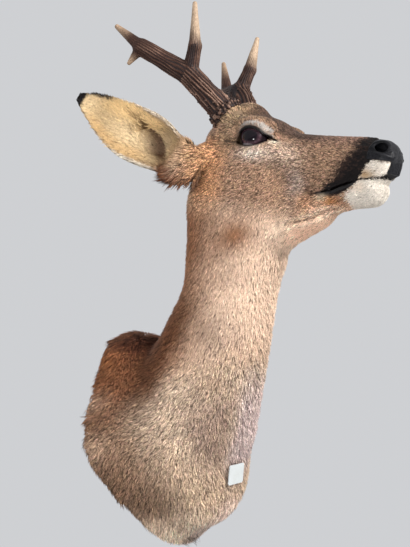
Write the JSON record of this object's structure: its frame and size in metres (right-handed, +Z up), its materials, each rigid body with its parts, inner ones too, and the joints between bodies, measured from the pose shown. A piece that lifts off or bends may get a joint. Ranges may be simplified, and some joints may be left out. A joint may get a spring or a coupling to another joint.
{
  "type": "roe deer shoulder mount",
  "caption": "Taxidermy shoulder mount of a roe buck: raised neck, branched antlers, ears out, glass eyes, on an egg-shaped wooden backboard that hangs on a wall.",
  "frame": {"origin": "middle of the backboard's flat back face, in the plane of the wall", "axes": "+Y into the wall (outward normal of the back face), -Y the way the chest faces, +Z up, -X the animal's right side"},
  "size_m": [0.2184, 0.323, 0.4618],
  "materials": {
    "coat": "short speckled grey-brown hair over a stuffed form",
    "coat_light": "short white and cream hair",
    "ear_hair": "thin skin with tan hair",
    "nose_skin": "bare black skin, satin",
    "eye_glass": "dark glass eye, polished",
    "antler_bone": "solid antler bone, grooved and pearled",
    "board_wood": "varnished wood",
    "steel": "plated",
    "paper": "blank paper sticker"
  },
  "bodies": {
    "root": {"trunk": "coat", "neck": "coat", "head": "coat", "lower_jaw": "coat_light", "nose": "nose_skin", "ear_left": "ear_hair", "ear_right": "ear_hair", "eye_left": "eye_glass", "eye_right": "eye_glass", "antler_left_beam": "antler_bone", "antler_left_front_tine": "antler_bone", "antler_left_rear_tine": "antler_bone", "antler_left_top": "antler_bone", "antler_right_beam": "antler_bone", "antler_right_front_tine": "antler_bone", "antler_right_rear_tine": "antler_bone", "antler_right_top": "antler_bone", "backboard": "board_wood", "hanger": "steel", "hanger_screw_left": "steel", "hanger_screw_right": "steel", "label": "paper"}
  },
  "joints": []
}
